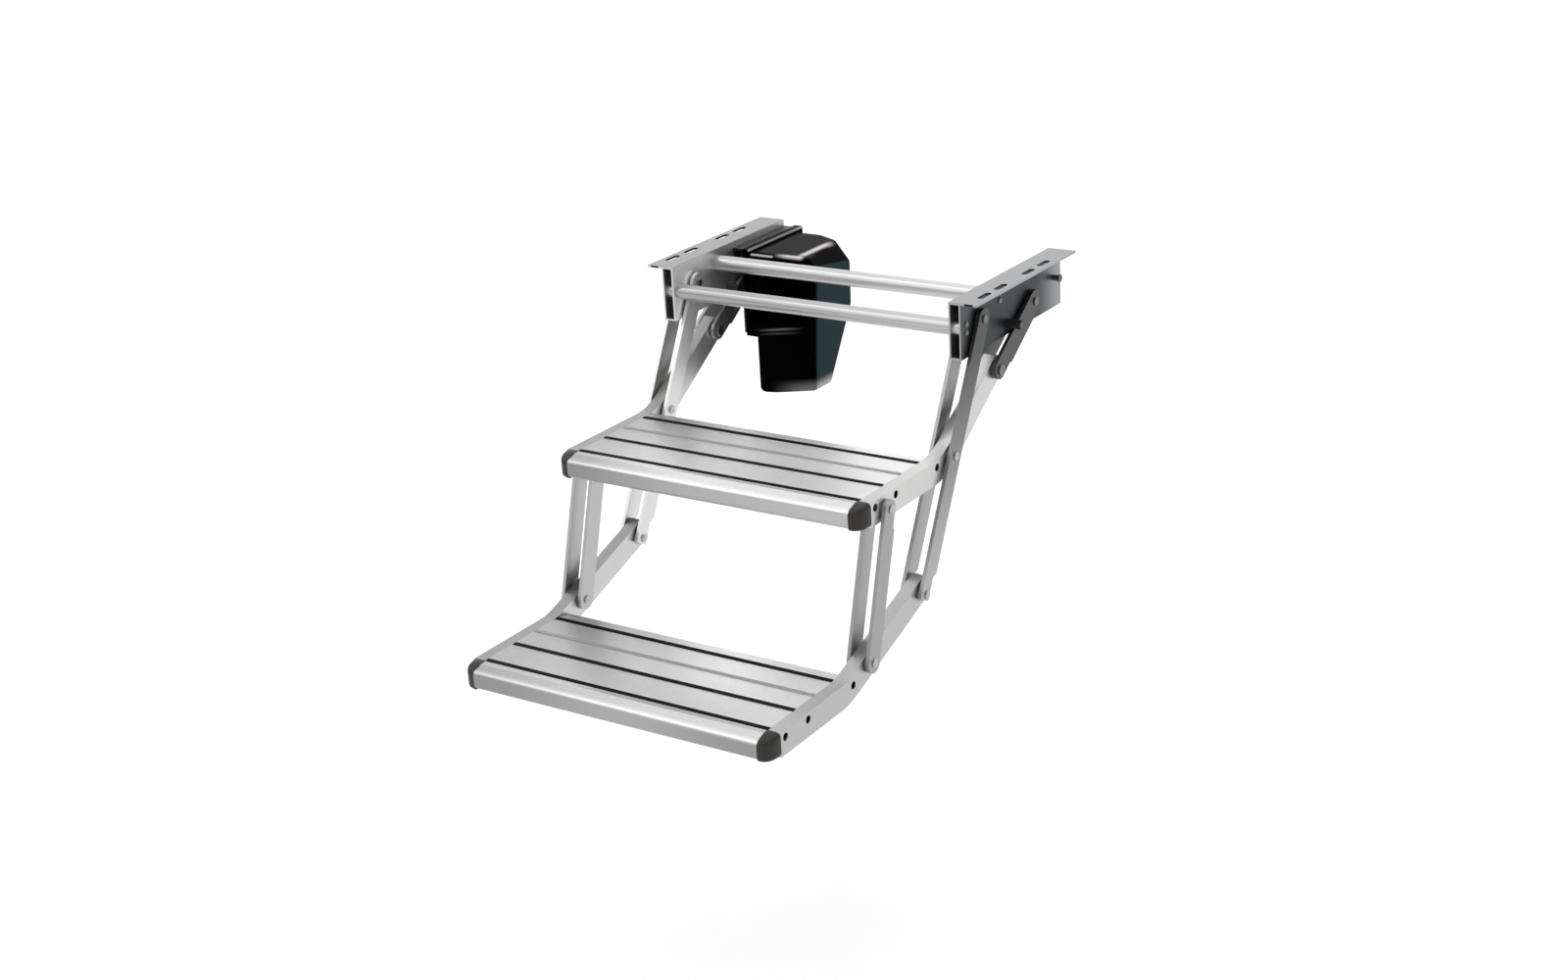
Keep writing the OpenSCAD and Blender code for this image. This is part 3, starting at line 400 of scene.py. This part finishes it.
left_shades, right_shades = (left_inner, flange_shade_on_top, slot_wall_shade), (flange_shade_on_top, slot_wall_shade, outer_painted_shade)
# Painted light and shade: the same rail metal is lighter on the left rail than on the right one.
dress(metal("left_rail_metal", (0.50, 0.51, 0.52), 0.42, ALONG_Y, shades=left_shades), "left_rail")
dress(metal("right_rail_metal", (0.38, 0.39, 0.40), 0.42, ALONG_Y, shades=right_shades), "right_rail")


# Cross tubes.
# Drawn aluminium tube, satin, with its grain along the tube. Threaded plugs close their ends,
# and screws through the rails hold them there.
def tube_painted_light(x, y, z):
    """Painted light: brighter to the right and on the rear tube."""
    return (0.58, 0.58, 0.58), x.ramp(-200 * MM, 200 * MM) * 0.5 + y.ramp(-100 * MM, -40 * MM) * 0.35


dress(metal("tube_metal", (0.33, 0.33, 0.33), 0.30, ALONG_X, 0.03, (tube_painted_light,)), "front_tube", "rear_tube")


# Flat levers and links.
# Cut from plate and zinc coated, so their tone is a little blotchy. The same plate metal is given lighter
# tones on the left and darker ones on the right, as painted light and shade; the long lever outside on the
# right has painted shade towards the top, and the drive links are of darker steel, darker still on the right
# as painted shade.
ALONG_PLATE, ALONG_LINK = (1, 0.3, 0.1), (1, 0.3, 0.3)


def painted_shade_above(x, y, z):
    """Painted shade: duller towards the top, under the rail."""
    return (0.085, 0.085, 0.085), z.ramp(-360 * MM, -40 * MM)


bright_plate = metal("bright_plate", (0.46, 0.46, 0.46), 0.38, ALONG_PLATE, 0.07)
dress(bright_plate, "left_inner_front_link", "left_outer_front_link")
inner_plate = metal("inner_plate", (0.37, 0.37, 0.37), 0.38, ALONG_PLATE, 0.07)
dress(inner_plate, "right_inner_long_lever", "right_inner_front_link")
brightest_plate = metal("brightest_plate", (0.67, 0.67, 0.665), 0.38, ALONG_PLATE, 0.07)
dress(brightest_plate, "left_inner_long_lever", "left_outer_long_lever")
shaded_plate = metal("shaded_plate", (0.40, 0.40, 0.405), 0.40, ALONG_PLATE, 0.07, (painted_shade_above,))
dress(shaded_plate, "right_outer_long_lever")
even_plate = metal("even_plate", (0.34, 0.34, 0.34), 0.40, ALONG_PLATE, 0.07)
dress(even_plate, "right_outer_front_link")
dark_plate = metal("dark_plate", (0.085, 0.085, 0.085), 0.40, ALONG_LINK, 0.12)
dress(dark_plate, "right_inner_drive_link", "right_outer_drive_link")
dull_plate = metal("dull_plate", (0.34, 0.34, 0.34), 0.40, ALONG_LINK, 0.12)
dress(dull_plate, "left_inner_drive_link", "left_outer_drive_link")


# Bolts, rivets, screws and pins.
# Turned and rolled steel, zinc coated. The stop pins and pegs are darker; the bolts up at the rails are
# darker as painted shade, and the tread screws brighter as painted light.
NO_GRAIN = (1, 1, 1)


def upper_bolt_shade(x, y, z):
    """Painted shade: darker up at the rails."""
    return (0.16, 0.16, 0.165), z.ramp(-190 * MM, -120 * MM)


bolt_metal = metal("bolt_metal", (0.42, 0.42, 0.425), 0.30, NO_GRAIN, 0.10, (upper_bolt_shade,))
dress(bolt_metal, "long_lever_bolts", "front_link_bolts", "right_drive_bolt", "drive_shaft")
dress(bolt_metal, "front_link_rivets", "drive_link_rivets", "upper_drive_pins", "lower_front_pins")
dress(bolt_metal, "tube_screws", "tube_plugs", "bracket_screws", "cover_screws")
pin_metal = metal("pin_metal", (0.12, 0.12, 0.125), 0.36, NO_GRAIN, 0.10)
dress(pin_metal, "stop_pins", "rear_pegs")
# Painted light: the tread screws get a bright tone, as they sit in the shade inside the rails.
screw_metal = metal("screw_metal", (0.80, 0.80, 0.80), 0.34, NO_GRAIN, 0.10)
dress(screw_metal, "upper_tread_screws", "lower_tread_screws")

# Plain bearings.
# Flanged bushes of pale bearing plastic, pushed into the rails where bolts and pins turn.
bush_plastic = Finish("bush_plastic", (0.50, 0.50, 0.48), 0.45).grain(1500, 0.05 * MM)
dress(bush_plastic, "rail_bushes", "upper_bushes", "lower_bushes")

# Grip strips.
# Black rubber with fine ribs along it, and one grey strip of harder plastic. They are slid
# into the deck's grooves.
STRIP_RIB, STRIP_RIB_HEIGHT = 1.6 * MM, 0.2 * MM
for step in ("upper", "lower"):
    rubber = Finish(step + "_rubber", (0.003, 0.003, 0.0032), 0.6, Specular_IOR_Level=0.05)
    across = rubber.axes()[1]
    dress(rubber.relief(across.ribs(STRIP_RIB), STRIP_RIB_HEIGHT), step + "_black_strips")
    dress(Finish(step + "_grey", (0.27, 0.27, 0.27), 0.5).grain(1800, 0.03 * MM), step + "_grey_strip")


# End caps.
# Moulded in charcoal plastic with a fine grain, and pushed into the side rails. The front follows
# the nose, and turns in one soft sweep into the square outline of the rail behind it.
CAP_DEPTH = 25.8 * MM
NOSE_SLOPE, NOSE_DROP, NOSE_ROUND = 18.4 * MM, 6 * MM, 9 * MM
SIDE_DROP, SIDE_ROUND, EDGE_ROUND = 0.6 * MM, 20 * MM, 6 * MM
CORNER_POWER = 0.8
CAP_COLUMNS = 25


def rounded_path(corners, steps=7):
    """Points along straight runs from corner to corner, each (reach, height, radius) eased by an arc.

    A point of an arc is the centre plus the radius times the direction that turns evenly between
    the two directions in which the runs touch the arc.
    """
    ends = np.array([corner[:2] for corner in corners], float)
    points = [ends[:1]]
    for before, at, after, (_, _, radius) in zip(ends, ends[1:], ends[2:], corners[1:]):
        back, on = ((end - at) / np.linalg.norm(end - at) for end in (before, after))
        half = math.acos(float(back @ on)) / 2
        touch = radius / math.tan(half)
        centre = at + radius / math.sin(half) * (back + on) / np.linalg.norm(back + on)
        first, last = ((at + touch * run - centre) / radius for run in (back, on))
        turn = math.pi - 2 * half
        share = np.linspace(0, 1, steps)[:, None]
        direction = (np.sin((1 - share) * turn) * first + np.sin(share * turn) * last) / math.sin(turn)
        points.append(centre + radius * direction)
    return np.vstack([*points, ends[-1:]])


def cap_mesh(name, inner_x, outer_x, front_y, top_z, foot_z):
    """A cap as a grid: its outline by turns about the upright edge where the cap, tread and rail meet.

    At a turn t from 0 (front) to 90 degrees (outer side), a point with the reach f and height z of
    the outline lies at (inner_x + width f sin(t)^p, rear_y - depth f cos(t)^p, top_z + z). The
    power p is a little below 1, for a squarer corner. The outline goes from the nose's to the
    rail's by the share s = 3 q^2 - 2 q^3, with q = t / 90.
    """
    rear_y = front_y + CAP_DEPTH
    height, width = top_z - foot_z, abs(outer_x - inner_x)
    nose = rounded_path([(0, 0, 0), (CAP_DEPTH - NOSE_SLOPE, 0, NOSE_ROUND),
                         (CAP_DEPTH, -NOSE_DROP, NOSE_ROUND), (CAP_DEPTH, -height, EDGE_ROUND),
                         (0, -height, 0)]) / (CAP_DEPTH, 1)
    side = rounded_path([(0, 0, 0), (width / 2, 0, SIDE_ROUND), (width, -SIDE_DROP, EDGE_ROUND),
                         (width, -height, EDGE_ROUND), (0, -height, 0)]) / (width, 1)
    q = np.linspace(0, 1, CAP_COLUMNS)
    turn, share = q * math.pi / 2, 3 * q ** 2 - 2 * q ** 3
    reach, rise = (np.outer(nose[:, i], 1 - share) + np.outer(side[:, i], share) for i in (0, 1))
    x = inner_x + (outer_x - inner_x) * reach * np.sin(turn) ** CORNER_POWER
    y = rear_y - CAP_DEPTH * reach * np.cos(turn) ** CORNER_POWER
    grid = np.stack([x, y, top_z + rise], axis=-1)
    rows, columns = reach.shape
    corner = np.arange(rows * columns).reshape(rows, columns)
    quads = np.stack([corner[:-1, :-1], corner[1:, :-1], corner[1:, 1:], corner[:-1, 1:]], axis=-1)
    inner = np.arange(rows) + rows * columns
    rear = inner + rows
    faces = [*quads.reshape(-1, 4).tolist(), inner[::-1].tolist(), rear.tolist()]
    if outer_x < inner_x:
        faces = [face[::-1] for face in faces]
    mesh = bpy.data.meshes.new(name)
    mesh.from_pydata(np.vstack([grid.reshape(-1, 3), grid[:, 0], grid[:, -1]]).tolist(), [], faces)
    mesh.polygons.foreach_set("use_smooth", [True] * (len(faces) - 2) + [False, False])
    return mesh


cap_plastic = Finish("cap_plastic", (0.020, 0.017, 0.013), 0.42, Specular_IOR_Level=0.28)
cap_plastic.grain(2600, 0.05 * MM, detail=3)
for step in ("upper", "lower"):
    for side in ("left", "right"):
        low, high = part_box(f"{step}_{side}_end_cap")
        inner_x, outer_x = (high[0], low[0]) if side == "left" else (low[0], high[0])
        mesh = cap_mesh(f"{step}_{side}_cap", inner_x, outer_x, low[1], high[2], low[2])
        mesh.materials.append(cap_plastic.material)
        cap = bpy.data.objects.new(f"{step}_{side}_cap", mesh)
        bpy.context.scene.collection.objects.link(cap)
        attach(cap, step + "_step")
        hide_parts(f"{step}_{side}_end_cap")

# Stop sleeves.
# Short lengths of black rubber tube, pushed on the pins that stop the drive links.
dress(Finish("sleeve_rubber", (0.012, 0.012, 0.012), 0.4).grain(1200, 0.05 * MM), "stop_sleeves")


# Gear motor and its cover.
# The cover is moulded in gloss black plastic; behind it sit a painted bracket, a cast
# gearbox and the motor's can.
BLACK, PAINTED_SIDE_REFLECTION, PAINTED_HIGHLIGHT = (0.0004, 0.0006, 0.0006), (0.024, 0.040, 0.044), (0.62, 0.57, 0.57)
COVER_FRONT, COVER_TOP, COVER_FOOT, COVER_RIGHT = 22 * MM, -13.9 * MM, -227 * MM, -76 * MM
COVER_DRAFT, FOOT_SLOPE, FOLD_SLOPE = 0.042, 0.17, 0.158


def cover_painted_highlights(x, y, z, right_face):
    """Painted highlights where the cover's rounded edges would mirror the room: on top, at the rim and tab,
    the foot and the fold.
    """
    top = z.ramp(COVER_TOP - 5 * MM, COVER_TOP - 2 * MM)
    edge_width = x.span((-156 * MM, -128 * MM), (-110 * MM, -100 * MM))
    front_edge = (y + z * 0.3).near(24.5 * MM, 8 * MM) * edge_width
    corner_edge = x.near(-111 * MM, 10 * MM) * y.span((26 * MM, 46 * MM), (98 * MM, 128 * MM))
    rim = x.near(-193 * MM, 1.2 * MM) * z.near(-10.4 * MM, 3 * MM)
    tab_width = x.span((-191.5 * MM, -190.5 * MM), (-153.5 * MM, -152.5 * MM))
    tab = (y + z).near(COVER_FRONT + COVER_TOP, 4 * MM) * tab_width
    above_foot = z - (x + 191 * MM) * FOOT_SLOPE
    foot = 1 - above_foot.ramp(COVER_FOOT + 1 * MM, COVER_FOOT + 20 * MM)
    foot_share = x.ramp(-170 * MM, -100 * MM) * 0.25 + right_face * 0.5
    along_fold = z - (x + 190 * MM) * FOLD_SLOPE
    fold = along_fold.near(-131 * MM, 3 * MM) + along_fold.near(-137 * MM, 2.5 * MM) * 0.5
    edges = (front_edge + corner_edge) * top + (rim + tab) * 0.9
    return edges + foot * foot_share + fold * x.near(-148 * MM, 48 * MM) * 0.2


# The cover hardly reflects; its highlights are painted into its colour.
cover_plastic = Finish("cover_plastic", BLACK, 0.14, Specular_IOR_Level=0.005)
x, y, z = cover_plastic.axes()
# Painted reflection: the cover's right face is tinted slate, as by the room it mirrors.
right_face = (x + (COVER_TOP - z) * COVER_DRAFT).ramp(COVER_RIGHT - 4 * MM, COVER_RIGHT - 0.5 * MM)
body_colour = cover_plastic.tint(BLACK, PAINTED_SIDE_REFLECTION, right_face)
cover_plastic.vary(Base_Color=cover_plastic.tint(body_colour, PAINTED_HIGHLIGHT, cover_painted_highlights(x, y, z, right_face)))
dress(cover_plastic.grain(60, 0.1 * MM, detail=1), "motor_cover")
bracket_paint = Finish("bracket_paint", (0.006, 0.006, 0.006), 0.4, Specular_IOR_Level=0.3)
dress(bracket_paint.grain(900, 0.05 * MM), "motor_bracket")
dress(metal("cast_alloy", (0.35, 0.35, 0.36), 0.5, NO_GRAIN, 0.1), "gearbox")
dress(Finish("can_paint", (0.03, 0.03, 0.032), 0.4).grain(700, 0.04 * MM), "motor")
